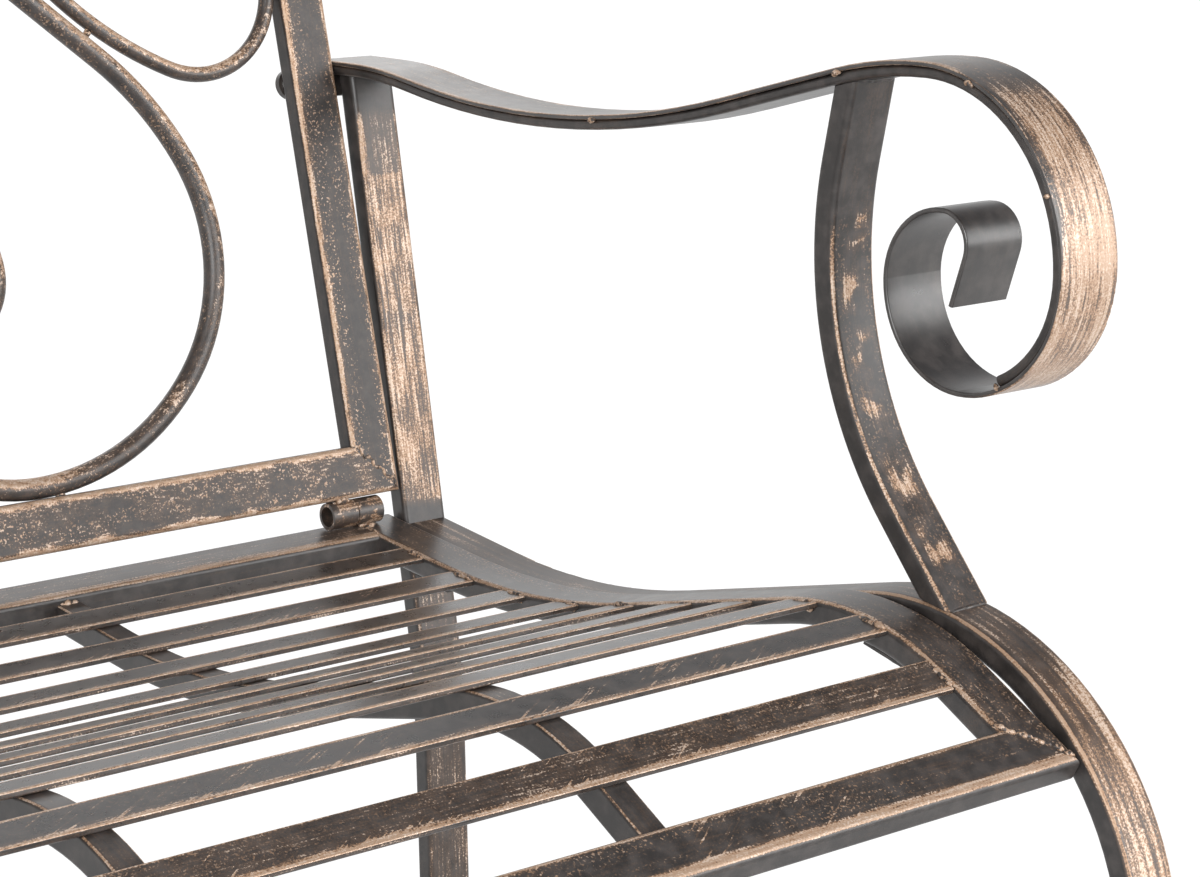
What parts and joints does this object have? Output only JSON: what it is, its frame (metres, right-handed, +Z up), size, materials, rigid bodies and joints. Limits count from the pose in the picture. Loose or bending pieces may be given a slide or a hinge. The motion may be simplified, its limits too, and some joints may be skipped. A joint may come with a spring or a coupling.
{
  "type": "garden chair",
  "caption": "Welded flat-tube garden armchair with a curved slatted seat, scroll arms and a reclined back of bent rods that folds forward on barrel hinges.",
  "frame": {"origin": "on the floor under the middle of the chair's bounding box", "axes": "+X to the right as seen from the front, +Y to the rear, +Z up; the front edge of the seat faces -Y"},
  "size_m": [0.6076, 0.5696, 0.8744],
  "materials": {
    "bronzed_steel": "satin charcoal with dry-brushed copper bronze on edges",
    "bolt_steel": "zinc plated",
    "foot_plastic": "matte black"
  },
  "bodies": {
    "chair_frame": {"arm_core_left": "bronzed_steel", "arm_core_right": "bronzed_steel", "arm_front_post_left": "bronzed_steel", "arm_front_post_right": "bronzed_steel", "arm_strip_left": "bronzed_steel", "arm_strip_right": "bronzed_steel", "back_bolt_washers": "bolt_steel", "back_bolts": "bolt_steel", "back_tab_left": "bronzed_steel", "back_tab_right": "bronzed_steel", "front_foot_left": "foot_plastic", "front_foot_right": "foot_plastic", "hinge_pin_left": "bronzed_steel", "hinge_pin_right": "bronzed_steel", "hinge_seat_knuckle_left": "bronzed_steel", "hinge_seat_knuckle_right": "bronzed_steel", "leg_rail_left": "bronzed_steel", "leg_rail_right": "bronzed_steel", "rear_foot_left": "foot_plastic", "rear_foot_right": "foot_plastic", "rear_leg_left": "bronzed_steel", "rear_leg_right": "bronzed_steel", "seat_bolt_insert_nuts": "bolt_steel", "seat_bolt_washers": "bolt_steel", "seat_bolts": "bolt_steel", "seat_brace_left": "bronzed_steel", "seat_brace_right": "bronzed_steel", "seat_bracket_front_left": "bronzed_steel", "seat_bracket_front_right": "bronzed_steel", "seat_bracket_rear_left": "bronzed_steel", "seat_bracket_rear_right": "bronzed_steel", "seat_front_rail": "bronzed_steel", "seat_rear_rail": "bronzed_steel", "seat_side_rail_left": "bronzed_steel", "seat_side_rail_right": "bronzed_steel", "seat_slat_01": "bronzed_steel", "seat_slat_02": "bronzed_steel", "seat_slat_03": "bronzed_steel", "seat_slat_04": "bronzed_steel", "seat_slat_05": "bronzed_steel", "seat_slat_06": "bronzed_steel", "seat_slat_07": "bronzed_steel", "seat_slat_08": "bronzed_steel", "seat_slat_09": "bronzed_steel", "seat_slat_10": "bronzed_steel"},
    "backrest": {"back_bolt_insert_nuts": "bolt_steel", "back_bottom_rail": "bronzed_steel", "back_stile_left": "bronzed_steel", "back_stile_right": "bronzed_steel", "back_top_rail": "bronzed_steel", "heart_rod_left": "bronzed_steel", "heart_rod_right": "bronzed_steel", "hinge_back_knuckle_left": "bronzed_steel", "hinge_back_knuckle_right": "bronzed_steel", "oval_ring_left": "bronzed_steel", "oval_ring_right": "bronzed_steel"}
  },
  "joints": [
    {"name": "back_fold", "type": "hinge", "parent": "chair_frame", "child": "backrest", "pos_m": [0, 0.17129, 0.43297], "axis": [1, 0, 0], "range_deg": [0, 98]}
  ]
}
